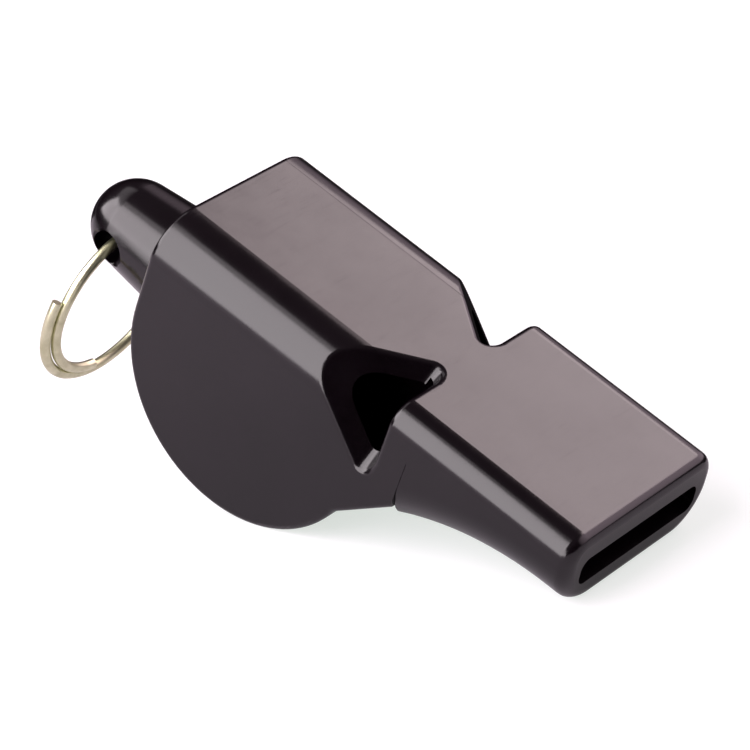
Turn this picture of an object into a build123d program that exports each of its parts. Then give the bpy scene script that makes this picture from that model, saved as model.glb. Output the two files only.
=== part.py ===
from build123d import *
import math
import os

# Pealess sports whistle, in millimetres: a central body, two side covers and a wire ring.
# It is drawn with the drum's axis along Y through the origin, the mouthpiece towards +X and
# the flat deck level, and is then turned nose down onto the surface that it lies on.

# Outer form
body_width = 20.0
drum_radius = 12.5
deck_height = 9.5  # flat deck above the drum's axis
deck_round = 4.1  # shoulders along the deck over the drum
rim_round = 0.5  # edges of the flat sides and of the rear wall

# Mouthpiece
mouth_reach = 33.85  # drum's axis to the front of the lower lip
lip_set_back = 0.8  # upper lip behind the lower one
mouth_depth = 7.3  # deck to the underside at the lips
mouth_land = 2.2  # flat of the underside behind the lips
throat_radius = 29.5  # hollow sweep of the underside
mouth_top_round = 2.2
mouth_low_round = 4.3
lip_round = 1.1
slot_width = 16.0
slot_height = 2.6
slot_depth = 3.0
slot_corner = 1.0
upper_lip = 2.4  # deck to the top of the slot

# Side covers, welded into seats in the body
cover_thickness = 1.5
cover_front = 16.6  # drum's axis to the upright front seam
seam_gap = 0.04  # hairline left round the edge of a seated cover
rib_width = 1.0  # two ribs that grip the shelf's edge
rib_height = 0.8
rib_clearance = 0.1
chin_drop = 4.3  # where the drum meets the chin, below the drum's axis
chin_rise = 0.3  # front end of the chin, above the drum's axis
chin_round = 1.6

# Side windows: one slanted cut on each side, up to the mouthpiece's rear face
window_front = 13.75
window_back = 3.2  # where the slant would meet the deck's square corner
neck_half = 1.7  # where the slant would meet the mouthpiece beside the neck
neck_round = 1.0  # upright corner beside the neck
sill_height = 1.6
sill_back = 12.3  # where the slant meets the sill on the flat side
sill_round = 0.6
window_round = 0.6  # outer edge all round a window

# Chambers
drum_wall = 1.4
deck_wall = 1.4
chin_wall = 1.0
web_thickness = 2.4  # upright wall between the two upper chambers
shelf_thickness = 1.1  # between the upper chambers and the lower one
shelf_drop = 2.0  # shelf's top below the drum's axis
shelf_bend = 8.0  # from here the shelf climbs to the mouthpiece
shelf_front_rise = 1.2

# Windways
windway_height = 1.2
windway_roof = 0.9  # deck to the upper windways where they leave the mouthpiece
low_windway_width = 12.0
low_bend_reach = 22.0
low_bend_height = 2.4
low_exit_height = -0.2
low_window_width = 13.0
low_window_back = 13.6
low_window_top = 0.6

# Lug behind the drum, a round taper with a ball end
lug_reach = 20.8  # drum's axis to the middle of the ball end
lug_drop = 1.7  # lug's axis below the drum's axis
lug_tip_radius = 4.1
lug_base_radius = 5.1
lug_root = 1.0  # how far the lug runs into the rear wall
hole_back = 0.2  # hole behind the middle of the ball end
hole_drop = 1.05  # hole below the lug's axis
hole_radius = 1.5
hole_flare = 0.5  # widening of the hole at each side of the ball

# Ring of round wire, a little past one turn, with one end outside the other
wire_diameter = 0.95
wire_sides = 12  # enough to read as round at this size
ring_radius = 7.9  # to the middle of the wire, at the hole
strand_gap = 0.06  # between the two ends where they lie together
strand_tilt = 67.0  # degrees: 0 puts the ends side by side, 90 one outside the other
ring_start = -172.0  # degrees round the ring from the hole, towards the left side
ring_end = 290.0
ring_arc_pairs = 5  # pairs of arcs that make up the wire's path
ring_lean = 1.0  # degrees from square to the deck, towards the mouthpiece

half_width = body_width / 2
seat_face = half_width - cover_thickness
shoulder_start = half_width - deck_round
seam_height = deck_height - deck_round
beyond = body_width  # reach of a cut past the body
mouth_floor = deck_height - mouth_depth
chamber_top = deck_height - deck_wall
inner_radius = drum_radius - drum_wall
shelf_low = shelf_drop + shelf_thickness
shelf_slope = (shelf_front_rise + shelf_drop) / (window_front - shelf_bend)
chin_start = math.sqrt(drum_radius**2 - chin_drop**2)
chin_slope = (chin_rise + chin_drop) / (cover_front - chin_start)
slot_top = deck_height - upper_lip
slot_floor = slot_top - slot_height
slot_back = mouth_reach - slot_depth
upper_lip_reach = mouth_reach - lip_set_back
lip_slope = lip_set_back / mouth_depth
hole_place = (-lug_reach - hole_back, 0, -lug_drop - hole_drop)
hole_reach = math.sqrt(lug_tip_radius**2 - hole_back**2 - hole_drop**2)  # middle to the ball's side


def side_face(*edges):
    """Face in the upright plane through the middle of the whistle."""
    return make_face([Plane.XZ * edge for edge in edges])


def side_polygon(*points):
    return side_face(*Polyline(*points, close=True).edges())


def side_rectangle(rear, low, front, top):
    return side_polygon((rear, low), (front, low), (front, top), (rear, top))


def across(face, width):
    """Solid of a side face, as wide as given, the same on both sides of the middle."""
    return extrude(face, amount=width / 2, both=True)


def left_of_middle(face, near, far):
    """Solid of a side face on the left, from one distance off the middle to another."""
    return Pos(0, (near + far) / 2, 0) * across(face, far - near)


def on_both_sides(solid):
    return solid + mirror(solid, about=Plane.XZ)


def edges_at(solid, places):
    """The edges of a solid whose middles lie at the given places."""
    return [solid.edges().sort_by_distance(place)[0] for place in places]


def drum_form():
    """Drum, deck and chin as one plain form, before it is parted into body and covers."""
    chin_front = (cover_front, chin_rise)
    chin_rear = (chin_start, -chin_drop)
    outline = side_face(
        Line((-drum_radius, 0), (-drum_radius, deck_height)),
        Line((-drum_radius, deck_height), (cover_front, deck_height)),
        Line((cover_front, deck_height), chin_front),
        Line(chin_front, chin_rear),
        ThreePointArc(chin_rear, (0, -drum_radius), (-drum_radius, 0)),
    )
    form = across(outline, body_width)
    form = fillet(edges_at(form, [(chin_start, 0, -chin_drop)]), chin_round)
    form = fillet(form.edges().filter_by(Axis.X).group_by(Axis.Z)[-1], deck_round)
    rims = form.faces().filter_by(Axis.Y).edges() + form.faces().sort_by(Axis.X)[0].edges()
    rims = [edge for edge in rims if edge.center().X < window_front and not is_shoulder_edge(edge)]
    return fillet(rims, rim_round)


def is_shoulder_edge(edge):
    """Whether an edge runs along the lower side of a shoulder, where the form is smooth."""
    level = abs(edge.tangent_at(0).X) > abs(edge.tangent_at(0).Z)
    return level and edge.geom_type == GeomType.LINE and abs(edge.center().Z - seam_height) < rim_round


def mouth_form():
    """Mouthpiece as one plain form, from the windows to the lips."""
    land = mouth_reach - mouth_land
    middle = (land + cover_front) / 2
    sweep = [(x, mouth_floor - sweep_drop(land - x)) for x in (land, middle, cover_front)]
    form = across(
        side_face(
            Line((window_front, deck_height), (upper_lip_reach, deck_height)),
            Line((upper_lip_reach, deck_height), (mouth_reach, mouth_floor)),
            Line((mouth_reach, mouth_floor), (land, mouth_floor)),
            ThreePointArc(*sweep),
            Line(sweep[-1], (cover_front, sill_height)),
            Line((cover_front, sill_height), (window_front, sill_height)),
            Line((window_front, sill_height), (window_front, deck_height)),
        ),
        body_width,
    )
    sides = (-half_width, half_width)
    form = fillet(form.edges().filter_by(Axis.X).group_by(Axis.Z)[-1], mouth_top_round)
    land_middle = mouth_reach - mouth_land / 2
    low_edges = edges_at(form, [(land_middle, side, mouth_floor) for side in sides])
    low_edges += edges_at(form, [(sweep[1][0], side, sweep[1][1]) for side in sides])
    form = fillet(low_edges, mouth_low_round)
    return fillet(form.faces().sort_by(Axis.X)[-1].edges(), lip_round)


def sweep_drop(back):
    """How far the hollow underside has dropped at a distance behind the flat land."""
    return throat_radius - math.sqrt(throat_radius**2 - back**2)


def lug_form():
    """Round taper with a ball end, and the ring's hole across the ball."""
    base = lug_reach - drum_radius + lug_root
    to_base = math.hypot(base, lug_base_radius)
    turn = math.atan2(lug_base_radius, base) + math.acos(lug_tip_radius / to_base)
    touch = (lug_tip_radius * math.cos(turn), lug_tip_radius * math.sin(turn))
    half = make_face(
        [
            Line((base, 0), (base, lug_base_radius)),
            Line((base, lug_base_radius), touch),
            TangentArc(touch, (-lug_tip_radius, 0), tangent=(touch[0] - base, touch[1] - lug_base_radius)),
            Line((-lug_tip_radius, 0), (base, 0)),
        ]
    )
    form = revolve(half, axis=Axis.X)
    hole = Cylinder(hole_radius, 2 * beyond)
    flare = Pos(0, 0, hole_reach) * Cone(hole_radius, hole_radius + 2 * hole_flare, 2 * hole_flare)
    hole += flare + mirror(flare, about=Plane.XY)
    form -= Pos(-hole_back, 0, -hole_drop) * (Rot(90, 0, 0) * hole)
    return Pos(-lug_reach, 0, -lug_drop) * form


def window_cut():
    """Slanted cut of the left window, rounded where it meets the mouthpiece and the sill."""
    corner = Vector(window_back, half_width, deck_height)
    at_neck = Vector(window_front, neck_half, deck_height)
    at_sill = Vector(sill_back, half_width, sill_height)
    slant = Plane(origin=corner, z_dir=(at_neck - corner).cross(at_sill - corner))
    block = side_rectangle(-drum_radius, sill_height, window_front, deck_height + deck_round)
    cut = split(left_of_middle(block, 0, half_width + deck_round), bisect_by=slant, keep=Keep.TOP)
    rear_face = cut.faces().sort_by_distance((corner + at_neck + at_sill) / 3)[0]
    front_face = cut.faces().filter_by(Axis.X).sort_by(Axis.X)[-1]
    corner_edge = [edge for edge in rear_face.edges() if is_edge_of(edge, front_face)]
    cut = fillet(corner_edge, neck_round)
    sill_face = cut.faces().filter_by(Axis.Z).sort_by(Axis.Z)[0]
    inner_edges = sill_face.edges().sort_by(Axis.Y)[:-1]
    return fillet(inner_edges, sill_round)


def is_edge_of(edge, face):
    return any(edge.is_same(other) for other in face.edges())


def outer_form():
    """Drum and mouthpiece in one, with both windows cut and the edges round them rounded."""
    form = drum_form() + mouth_form() - on_both_sides(window_cut())
    middle = (shoulder_start + neck_half) / 2
    slant = (window_front - window_back) / (half_width - neck_half)
    place = window_back + (half_width - middle) * slant
    return fillet(edges_at(form, [(place, side, deck_height) for side in (-middle, middle)]), window_round)


def upper_chamber():
    """Left upper chamber, with its roof rounded like the shoulder above it."""
    outline = side_polygon(
        (-inner_radius, -shelf_drop),
        (shelf_bend, -shelf_drop),
        (window_front, shelf_front_rise),
        (window_front, chamber_top),
        (-inner_radius, chamber_top),
    )
    hollow = left_of_middle(outline, web_thickness / 2, seat_face)
    outer_edge = hollow.edges().filter_by(Axis.X).group_by(Axis.Z)[-1].sort_by(Axis.Y)[-1]
    return fillet(outer_edge, deck_round - deck_wall)


def lower_chamber():
    """Chamber across the whole width under the shelf, with its throat and window."""
    below = side_rectangle(-drum_radius, -drum_radius, drum_radius, -shelf_low)
    drum = across(Plane.XZ * Circle(inner_radius), 2 * seat_face) & across(below, body_width)
    throat = side_polygon(
        (shelf_bend, -shelf_low),
        (low_window_back, -shelf_low + (low_window_back - shelf_bend) * shelf_slope),
        (low_window_back, chin_inside(low_window_back)),
        (shelf_bend, chin_inside(shelf_bend)),
    )
    window = side_rectangle(low_window_back, -drum_radius, cover_front, low_window_top)
    return drum + across(throat, low_window_width) + across(window, low_window_width)


def chin_inside(x):
    """Height of the chin's inner face at a distance from the drum's axis."""
    lean = math.hypot(1, chin_slope)
    return -chin_drop + chin_wall * lean + (x - chin_start) * chin_slope


def windways():
    """Slot between the lips, the two upper windways and the lower one."""
    slot = across(side_rectangle(slot_back, slot_floor, mouth_reach + slot_depth, slot_top), slot_width)
    slot = fillet(slot.edges().filter_by(Axis.X), slot_corner)
    exit_top = deck_height - windway_roof
    upper = side_polygon(
        (slot_back, slot_top),
        (slot_back, slot_top - windway_height),
        (window_front - neck_round, exit_top - windway_height),
        (window_front - neck_round, exit_top),
    )
    upper = on_both_sides(left_of_middle(upper, web_thickness / 2, slot_width / 2))
    low_route = [
        (slot_back, slot_floor),
        (low_bend_reach, low_bend_height - windway_height / 2),
        (cover_front, low_exit_height - windway_height / 2),
    ]
    low_roof = [(x, z + windway_height) for x, z in reversed(low_route)]
    lower = across(side_polygon(*low_route, *low_roof), low_windway_width)
    return slot + upper + lower


def cover_seat(gap):
    """Room of the left cover, with a gap round its edges, from the seat face outwards."""
    plate = side_rectangle(-beyond, -beyond, cover_front + gap, seam_height)
    shoulder_front = window_front - neck_round
    shoulder = side_rectangle(-beyond, seam_height, shoulder_front, deck_height + beyond)
    room = left_of_middle(plate, seat_face, half_width + beyond)
    return room + left_of_middle(shoulder, shoulder_start - gap, half_width + beyond)


def left_cover(form, chamber):
    """Flat side of the drum with its shoulder, its slanted window edge and the shelf's ribs."""
    above_shelf = -shelf_drop + rib_clearance
    below_shelf = -shelf_low - rib_clearance
    upper_rib = side_rectangle(-shelf_bend, above_shelf, shelf_bend, above_shelf + rib_width)
    lower_rib = side_rectangle(-shelf_bend, below_shelf - rib_width, shelf_bend, below_shelf)
    ribs = left_of_middle(upper_rib, seat_face - rib_height, seat_face)
    ribs += left_of_middle(lower_rib, seat_face - rib_height, seat_face)
    return (form & cover_seat(0)) - chamber + ribs


def whistle_body(form, chamber):
    """Central moulding: deck, drum wall, web, shelf, mouthpiece and lug."""
    body = form + lug_form()
    body -= on_both_sides(cover_seat(seam_gap))
    body -= on_both_sides(chamber)
    body -= lower_chamber()
    return body - windways()


def ring_growth(angle):
    """How far the wire has moved outwards and sideways at an angle round the ring from the hole."""
    step = (wire_diameter + strand_gap) * angle / 360
    tilt = math.radians(strand_tilt)
    return step * math.sin(tilt), step * math.cos(tilt)


def ring_point(angle):
    outwards, sideways = ring_growth(angle)
    return Vector(ring_radius + outwards, 0, sideways).rotate(Axis.Z, angle)


def ring_heading(angle):
    """Direction of the wire at an angle round the ring."""
    outwards, sideways = ring_growth(math.degrees(1))
    ahead = Vector(outwards, ring_radius + ring_growth(angle)[0], sideways)
    return ahead.rotate(Axis.Z, angle).normalized()


def arc_pair(start, end):
    """Two arcs that run smoothly into each other, from one angle round the ring to another."""
    heading, last_heading = ring_heading(start), ring_heading(end)
    chord = ring_point(end) - ring_point(start)
    along = chord.dot(heading + last_heading)
    turn = 2 * (1 - heading.dot(last_heading))
    reach = (math.sqrt(along**2 + turn * chord.dot(chord)) - along) / turn
    meeting = (ring_point(start) + ring_point(end) + (heading - last_heading) * reach) / 2
    first = TangentArc(ring_point(start), meeting, tangent=heading)
    return [first, TangentArc(meeting, ring_point(end), tangent=first % 1)]


def wire_ring():
    """Wire a little past one turn, hanging in the lug's hole, with its ends laid together."""
    pair_angle = (ring_end - ring_start) / ring_arc_pairs
    starts = [ring_start + pair_angle * index for index in range(ring_arc_pairs)]
    path = Wire([arc.edge() for start in starts for arc in arc_pair(start, start + pair_angle)])
    section = RegularPolygon(wire_diameter / 2, wire_sides)
    wire = sweep(Plane(origin=path @ 0, z_dir=path % 0) * section, path=path)
    lean = math.radians(ring_lean)
    down = Vector(math.sin(lean), 0, -math.cos(lean))
    rearward = Vector(-math.cos(lean), 0, -math.sin(lean))
    rise = ring_radius - math.sqrt(ring_radius**2 - hole_reach**2)
    middle = Vector(*hole_place) + down * (ring_radius - rise / 2)
    return Plane(origin=middle, x_dir=-down, z_dir=rearward).location * wire


def lying_pitch():
    """Angle by which the nose drops until drum and mouthpiece lie on one surface."""
    reach = mouth_reach - lip_round * (lip_slope + math.hypot(1, lip_slope))
    rise = mouth_floor + lip_round
    to_lip = math.hypot(reach, rise)
    return math.degrees(math.atan2(rise, reach) + math.asin((drum_radius - lip_round) / to_lip))


def main():
    form = outer_form()
    chamber = upper_chamber()
    cover = left_cover(form, chamber)
    pieces = {
        "whistle_body": whistle_body(form, chamber),
        "left_side_cover": cover,
        "right_side_cover": mirror(cover, about=Plane.XZ),
        "lanyard_ring": wire_ring(),
    }
    turn = Rot(0, lying_pitch(), 0)
    pieces = {name: turn * piece for name, piece in pieces.items()}
    boxes = [piece.bounding_box() for piece in pieces.values()]
    rear = min(box.min.X for box in boxes)
    front = max(box.max.X for box in boxes)
    ground = Pos(-(rear + front) / 2, 0, -min(box.min.Z for box in boxes))
    os.makedirs("parts", exist_ok=True)
    for name, piece in pieces.items():
        export_step(ground * piece, f"parts/{name}.step")
        print(name, "valid" if piece.is_valid else "not valid", "volume", round(piece.volume, 1))
    print("pitch", lying_pitch(), "ring's hole", (ground * turn * Pos(*hole_place)).position)


main()
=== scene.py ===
import math

import bmesh
import bpy
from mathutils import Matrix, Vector


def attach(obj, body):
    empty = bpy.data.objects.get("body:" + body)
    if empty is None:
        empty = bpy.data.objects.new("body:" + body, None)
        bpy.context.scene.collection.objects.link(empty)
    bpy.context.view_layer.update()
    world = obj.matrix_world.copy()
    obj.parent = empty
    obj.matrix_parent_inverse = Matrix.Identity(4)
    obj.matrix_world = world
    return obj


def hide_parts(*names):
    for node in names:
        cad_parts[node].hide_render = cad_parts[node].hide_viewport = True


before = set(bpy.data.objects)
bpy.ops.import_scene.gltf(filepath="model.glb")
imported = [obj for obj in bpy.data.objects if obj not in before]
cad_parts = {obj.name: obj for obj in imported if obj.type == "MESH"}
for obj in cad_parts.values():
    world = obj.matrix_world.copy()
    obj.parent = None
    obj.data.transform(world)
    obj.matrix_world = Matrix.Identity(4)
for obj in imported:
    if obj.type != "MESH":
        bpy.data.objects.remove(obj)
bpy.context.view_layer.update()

scene = bpy.context.scene

# Lengths are in metres unless a name ends in mm, angles in degrees, and a level of 1 renders white
MM = 0.001
MERGE_GAP = 0.001 * MM
CREASE_ANGLE = 45
MASK_SPAN = (0, 1)
WHITE = (1, 1, 1, 1)

# Black moulding: colour and roughness run between two values over soft patches, and rubs dull it
BLACK_FINISH = {
    "colours": ((0.0016, 0.0008, 0.0014, 1), (0.0026, 0.0013, 0.0023, 1)),
    "roughness": (0.15, 0.21),
    "patch_mm": 7.0,
    "grain_mm": 0.5,
    "grain_height": 0.004 * MM,
    "grain_strength": 0.25,
    "scuff_mm": 0.16,
    "scuff_roughness": 0.06,
}
BLACK_IOR = 1.5

# Plated wire: darker and duller where the plating has tarnished
BRASS_FINISH = {
    "colours": ((0.52, 0.52, 0.315, 1), (0.78, 0.78, 0.545, 1)),
    "roughness": (0.38, 0.27),
    "patch_mm": 2.6,
    "grain_mm": 0.15,
    "grain_height": 0.01 * MM,
    "grain_strength": 0.2,
    "scuff_mm": 0.08,
    "scuff_roughness": 0.10,
}

# Noise: how fine it goes, and the part of its run that is spread over a whole mask
GRAIN_DETAIL = 2.0
PATCH_DETAIL = 4.0
PATCH_BREAKUP = 0.6
PATCH_SPAN = (0.3, 0.7)
SCUFF_DETAIL = 1.0
SCUFF_SPAN = (0.63, 0.80)
SCUFF_STRETCH = 0.05
SCUFF_TURNS = ((12, 8, 35), (-10, 15, -50))

# Floor: its glow for the camera rises to white over a reach from the whistle
FLOOR_HALF = 4.0
FLOOR_PAINT = (0.37, 0.335, 0.376, 1)
FLOOR_ROUGHNESS = 1.0
FLOOR_GLOW_COLOUR = (0.94, 1.0, 0.95, 1)
FLOOR_GLOW_LEVELS = (0.70, 1.0)
FLOOR_GLOW_REACH = (0.15, 0.60)
FLOOR_GLOW_MIRRORED = 0.17

# Dark card that lies on the floor on the far side of the whistle
CARD_HALF = 0.5
CARD_SHIFT = -0.1
CARD_START = 0.025
CARD_LIFT = 1 * MM
CARD_BLACK = (0.01, 0.01, 0.01, 1)
CARD_ROUGHNESS = 0.9

# Lamps: each stands at a bearing from +X, a level distance and a height, and faces the upright axis
PANEL_COLOUR = (1.0, 0.92, 0.96)
STRIP_COLOUR = (1.0, 0.85, 0.85)
LAMPS = {
    "near_panel": dict(
        bearing=-102, distance=0.30, height=0.315, aim_height=0.315,
        size=(0.30, 0.62), radiance=6.3, colour=PANEL_COLOUR,
    ),
    "near_panel_top": dict(
        bearing=-102, distance=0.24, height=0.648, aim_height=0.015,
        size=(0.30, 0.105), radiance=2.2, colour=PANEL_COLOUR,
    ),
    "rear_panel": dict(
        bearing=-149, distance=0.30, height=0.291, aim_height=0.291,
        size=(0.255, 0.348), radiance=6.3, colour=PANEL_COLOUR,
    ),
    "rear_panel_top": dict(
        bearing=180, distance=0.2425, height=0.42, aim_height=0.02,
        size=(0.42, 0.177), radiance=1.0, colour=PANEL_COLOUR,
    ),
    "far_strip": dict(
        bearing=80, distance=0.683, height=0.606, aim_height=0.012,
        size=(0.54, 0.35), radiance=4.0, colour=STRIP_COLOUR,
    ),
}

# Room: dim, darker towards the floor, with one pale wall on the far side
ROOM_TINT = (1.0, 0.78, 0.90, 1)
ROOM_LEVELS = (0.01, 0.12)
ROOM_RISE = (0.3, 0.9)
ROOM_SEEN_LEVEL = 1.0
WALL_BEARING = 60
WALL_ELEVATION = 25
WALL_LEVEL = 2.2
WALL_SPREAD = (0.6, 1.0)
WALL_TOP = (0.70, 0.80)

CAMERA_PLACE = (0.19428, -0.21797, 0.14410)
CAMERA_TURN = (65.298, 5.127, 38.902)
CAMERA_LENS_MM = 182.51
CAMERA_SENSOR_MM = 36.0
CAMERA_CLIP = (0.01, 20.0)


# Node helpers

def new_group(name, inputs, outputs):
    """Empty shader node group with named number inputs and outputs."""
    group = bpy.data.node_groups.new(name, "ShaderNodeTree")
    for way, sockets in (("INPUT", inputs), ("OUTPUT", outputs)):
        for socket in sockets:
            group.interface.new_socket(socket, in_out=way, socket_type="NodeSocketFloat")
    start = group.nodes.new("NodeGroupInput")
    end = group.nodes.new("NodeGroupOutput")
    return group, start, end


def add(tree, kind, **values):
    """New node, with its plain settings and its input values set by name."""
    node = tree.nodes.new(kind)
    for key, value in values.items():
        if key in node.inputs:
            node.inputs[key].default_value = value
        else:
            setattr(node, key, value)
    return node


def maths(tree, operation, first, second):
    """Math node on two values, each a socket or a number."""
    node = add(tree, "ShaderNodeMath", operation=operation)
    for slot, value in zip(node.inputs, (first, second)):
        if isinstance(value, (int, float)):
            slot.default_value = value
        else:
            tree.links.new(value, slot)
    return node.outputs["Value"]


def stretched(tree, value, span, new_span):
    """Map Range node that takes one span of a value to another, and holds it beyond the ends."""
    node = add(tree, "ShaderNodeMapRange")
    tree.links.new(value, node.inputs["Value"])
    node.inputs["From Min"].default_value, node.inputs["From Max"].default_value = span
    node.inputs["To Min"].default_value, node.inputs["To Max"].default_value = new_span
    return node.outputs["Result"]


def blended(tree, share, first, second):
    """Mix node between two colours by a share that varies."""
    node = add(tree, "ShaderNodeMix", data_type="RGBA")
    node.inputs["A"].default_value = first
    node.inputs["B"].default_value = second
    tree.links.new(share, node.inputs["Factor"])
    return node.outputs["Result"]


def noise_scale(group, size_in_mm):
    """Texture scale that gives features of a size in millimetres."""
    return maths(group, "DIVIDE", 1 / MM, size_in_mm)


# Shared surface effects

def make_mould_skin():
    """Fine skin of a surface: its grain height, and soft patches where it has been handled."""
    group, start, end = new_group("mould_skin", ("Grain Size", "Patch Size"), ("Height", "Patches"))
    place = add(group, "ShaderNodeTexCoord").outputs["Object"]
    grain = add(group, "ShaderNodeTexNoise", Detail=GRAIN_DETAIL)
    patches = add(group, "ShaderNodeTexNoise", Detail=PATCH_DETAIL, Roughness=PATCH_BREAKUP)
    for node, size in ((grain, "Grain Size"), (patches, "Patch Size")):
        group.links.new(place, node.inputs["Vector"])
        group.links.new(noise_scale(group, start.outputs[size]), node.inputs["Scale"])
    group.links.new(grain.outputs["Fac"], end.inputs["Height"])
    group.links.new(stretched(group, patches.outputs["Fac"], PATCH_SPAN, MASK_SPAN), end.inputs["Patches"])
    return group


def make_scuffs():
    """Sparse fine rubs in two directions, as from a pocket or a drawer."""
    group, start, end = new_group("fine_scuffs", ("Scuff Width",), ("Scuffs",))
    place = add(group, "ShaderNodeTexCoord").outputs["Object"]
    scale = noise_scale(group, start.outputs["Scuff Width"])
    rubs = []
    for turn in SCUFF_TURNS:
        drawn = add(group, "ShaderNodeMapping", Rotation=[math.radians(angle) for angle in turn])
        drawn.inputs["Scale"].default_value = (1, SCUFF_STRETCH, 1)
        group.links.new(place, drawn.inputs["Vector"])
        streaks = add(group, "ShaderNodeTexNoise", Detail=SCUFF_DETAIL)
        group.links.new(drawn.outputs["Vector"], streaks.inputs["Vector"])
        group.links.new(scale, streaks.inputs["Scale"])
        rubs.append(stretched(group, streaks.outputs["Fac"], SCUFF_SPAN, MASK_SPAN))
    group.links.new(maths(group, "MAXIMUM", *rubs), end.inputs["Scuffs"])
    return group


# Materials

def new_material(name):
    """New node material, with its node tree and its surface shader."""
    material = bpy.data.materials.new(name)
    material.use_nodes = True
    tree = material.node_tree
    return material, tree, tree.nodes["Principled BSDF"]


def dress(tree, surface, skin, scuffs, finish):
    """Joins the shared effects to a surface: patches of colour and roughness, dull rubs, and a grain."""
    marks = add(tree, "ShaderNodeGroup", node_tree=skin)
    marks.inputs["Grain Size"].default_value = finish["grain_mm"]
    marks.inputs["Patch Size"].default_value = finish["patch_mm"]
    rubs = add(tree, "ShaderNodeGroup", node_tree=scuffs)
    rubs.inputs["Scuff Width"].default_value = finish["scuff_mm"]
    patches = marks.outputs["Patches"]
    tree.links.new(blended(tree, patches, *finish["colours"]), surface.inputs["Base Color"])
    smooth = stretched(tree, patches, MASK_SPAN, finish["roughness"])
    rubbed = maths(tree, "MULTIPLY", rubs.outputs["Scuffs"], finish["scuff_roughness"])
    tree.links.new(maths(tree, "ADD", smooth, rubbed), surface.inputs["Roughness"])
    bump = add(tree, "ShaderNodeBump", Strength=finish["grain_strength"], Distance=finish["grain_height"])
    tree.links.new(marks.outputs["Height"], bump.inputs["Height"])
    tree.links.new(bump.outputs["Normal"], surface.inputs["Normal"])


def gloss_black(skin, scuffs):
    """Polished black moulding: deep black, with a faint moulded skin and faint handling marks."""
    material, tree, surface = new_material("gloss_black")
    dress(tree, surface, skin, scuffs, BLACK_FINISH)
    surface.inputs["IOR"].default_value = BLACK_IOR
    return material


def pale_brass(skin, scuffs):
    """Drawn wire with a pale brass plating, tarnished in patches."""
    material, tree, surface = new_material("pale_brass")
    dress(tree, surface, skin, scuffs, BRASS_FINISH)
    surface.inputs["Metallic"].default_value = 1.0
    return material


def make_matt(surface, colour, roughness):
    """Makes a surface plain and dull, without any gloss."""
    surface.inputs["Base Color"].default_value = colour
    surface.inputs["Roughness"].default_value = roughness
    surface.inputs["Specular IOR Level"].default_value = 0.0


def floor_white():
    """Paint that keeps the shadow, with a glow up to white for the camera and a faint one in gloss."""
    material, tree, surface = new_material("floor_white")
    make_matt(surface, FLOOR_PAINT, FLOOR_ROUGHNESS)
    light = add(tree, "ShaderNodeLightPath")
    distance = add(tree, "ShaderNodeVectorMath", operation="LENGTH")
    tree.links.new(add(tree, "ShaderNodeTexCoord").outputs["Object"], distance.inputs[0])
    seen = stretched(tree, distance.outputs["Value"], FLOOR_GLOW_REACH, FLOOR_GLOW_LEVELS)
    mirrored = maths(tree, "MAXIMUM", light.outputs["Is Glossy Ray"], light.outputs["Is Transmission Ray"])
    level = maths(
        tree, "ADD",
        maths(tree, "MULTIPLY", light.outputs["Is Camera Ray"], seen),
        maths(tree, "MULTIPLY", mirrored, FLOOR_GLOW_MIRRORED),
    )
    surface.inputs["Emission Color"].default_value = FLOOR_GLOW_COLOUR
    tree.links.new(level, surface.inputs["Emission Strength"])
    return material


def card_black():
    """Matt black card."""
    material, tree, surface = new_material("card_black")
    make_matt(surface, CARD_BLACK, CARD_ROUGHNESS)
    return material


# Pieces

def finish_moulding(node, material):
    """Gives a moulding, which is shown as it is in the frame, its full material."""
    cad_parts[node].material_slots[0].material = material


def add_mesh(name, work, material):
    """New object in the scene from a bmesh, which it frees."""
    mesh = bpy.data.meshes.new(name)
    work.to_mesh(mesh)
    work.free()
    mesh.materials.append(material)
    made = bpy.data.objects.new(name, mesh)
    scene.collection.objects.link(made)
    return made


def round_wire(name, node, body, material):
    """Copy of a wire with its loose triangles joined, and shaded round between its flat ends."""
    work = bmesh.new()
    work.from_mesh(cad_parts[node].data)
    bmesh.ops.remove_doubles(work, verts=work.verts, dist=MERGE_GAP)
    for face in work.faces:
        face.smooth = True
    for edge in work.edges:
        edge.smooth = edge.calc_face_angle(0.0) < math.radians(CREASE_ANGLE)
    wire = add_mesh(name, work, material)
    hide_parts(node)
    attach(wire, body)


# Floor, light and camera

def around(bearing, distance, height):
    """Point at a bearing, a level distance and a height from the whistle."""
    turn = math.radians(bearing)
    return (distance * math.cos(turn), distance * math.sin(turn), height)


def make_floor():
    """Wide pale floor."""
    work = bmesh.new()
    bmesh.ops.create_grid(work, x_segments=1, y_segments=1, size=FLOOR_HALF)
    add_mesh("floor", work, floor_white())


def make_dark_card():
    """Dark card on the floor, seen only as dark edges in the whistle's gloss."""
    work = bmesh.new()
    bmesh.ops.create_grid(work, x_segments=1, y_segments=1, size=CARD_HALF)
    bmesh.ops.translate(work, verts=work.verts, vec=(CARD_SHIFT, CARD_START + CARD_HALF, CARD_LIFT))
    card = add_mesh("dark_card", work, card_black())
    card.visible_camera = False
    card.visible_diffuse = False
    card.visible_shadow = False


def softbox(name, bearing, distance, height, aim_height, size, radiance, colour):
    """Area lamp that the camera doesn't see, as bright to look at as its radiance says."""
    across, along = size
    lamp = bpy.data.lights.new(name, "AREA")
    lamp.shape = "RECTANGLE"
    lamp.size = across
    lamp.size_y = along
    lamp.energy = radiance * math.pi * across * along
    lamp.color = colour
    box = bpy.data.objects.new(name, lamp)
    box.location = around(bearing, distance, height)
    facing = Vector(around(bearing, distance, height - aim_height))
    box.rotation_euler = facing.to_track_quat("Z", "Y").to_euler()
    box.visible_camera = False
    scene.collection.objects.link(box)


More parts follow.
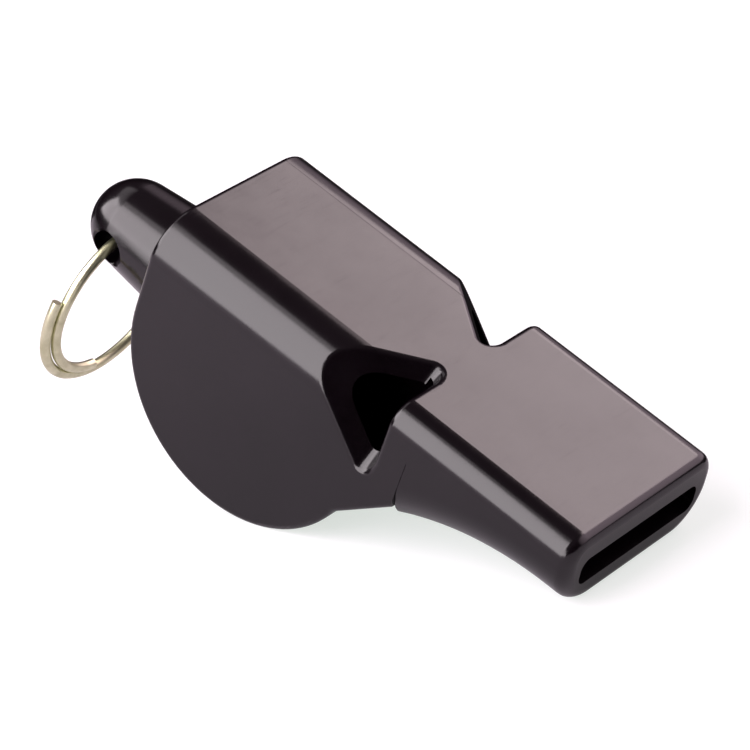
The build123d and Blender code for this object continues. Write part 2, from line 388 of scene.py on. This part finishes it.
def make_lamps():
    """Panels at the near side and the rear, a dimmer one above each, and a strip high on the far side."""
    for name, values in LAMPS.items():
        softbox(name, **values)


def make_world():
    """Dim room with one pale wall on the far side, and white where the camera sees it."""
    world = bpy.data.worlds.new("room")
    scene.world = world
    world.use_nodes = True
    tree = world.node_tree
    back = tree.nodes["Background"]
    camera_ray = add(tree, "ShaderNodeLightPath").outputs["Is Camera Ray"]
    way = add(tree, "ShaderNodeTexCoord").outputs["Generated"]
    parts = add(tree, "ShaderNodeSeparateXYZ")
    tree.links.new(way, parts.inputs["Vector"])
    facing = add(tree, "ShaderNodeVectorMath", operation="DOT_PRODUCT")
    tree.links.new(way, facing.inputs[0])
    rise = math.radians(WALL_ELEVATION)
    facing.inputs[1].default_value = around(WALL_BEARING, math.cos(rise), math.sin(rise))
    wall = stretched(tree, facing.outputs["Value"], WALL_SPREAD, (0, WALL_LEVEL))
    below_top = stretched(tree, parts.outputs["Z"], WALL_TOP, (1, 0))
    dim = stretched(tree, parts.outputs["Z"], ROOM_RISE, ROOM_LEVELS)
    level = add(tree, "ShaderNodeMix", data_type="FLOAT")
    tree.links.new(camera_ray, level.inputs["Factor"])
    tree.links.new(maths(tree, "ADD", maths(tree, "MULTIPLY", wall, below_top), dim), level.inputs["A"])
    level.inputs["B"].default_value = ROOM_SEEN_LEVEL
    tree.links.new(level.outputs["Result"], back.inputs["Strength"])
    tree.links.new(blended(tree, camera_ray, ROOM_TINT, WHITE), back.inputs["Color"])


def make_camera():
    """Camera at the photograph's angle, with its long lens."""
    lens = bpy.data.cameras.new("camera")
    lens.lens = CAMERA_LENS_MM
    lens.sensor_width = CAMERA_SENSOR_MM
    lens.clip_start, lens.clip_end = CAMERA_CLIP
    camera = bpy.data.objects.new("camera", lens)
    camera.location = CAMERA_PLACE
    camera.rotation_euler = [math.radians(angle) for angle in CAMERA_TURN]
    scene.collection.objects.link(camera)
    scene.camera = camera


skin = make_mould_skin()
scuffs = make_scuffs()
black = gloss_black(skin, scuffs)
for moulding in ("whistle_body", "left_side_cover", "right_side_cover"):
    finish_moulding(moulding, black)
round_wire("wire_ring", "lanyard_ring", "ring", pale_brass(skin, scuffs))
make_floor()
make_dark_card()
make_lamps()
make_world()
make_camera()
scene.view_settings.view_transform = "Standard"
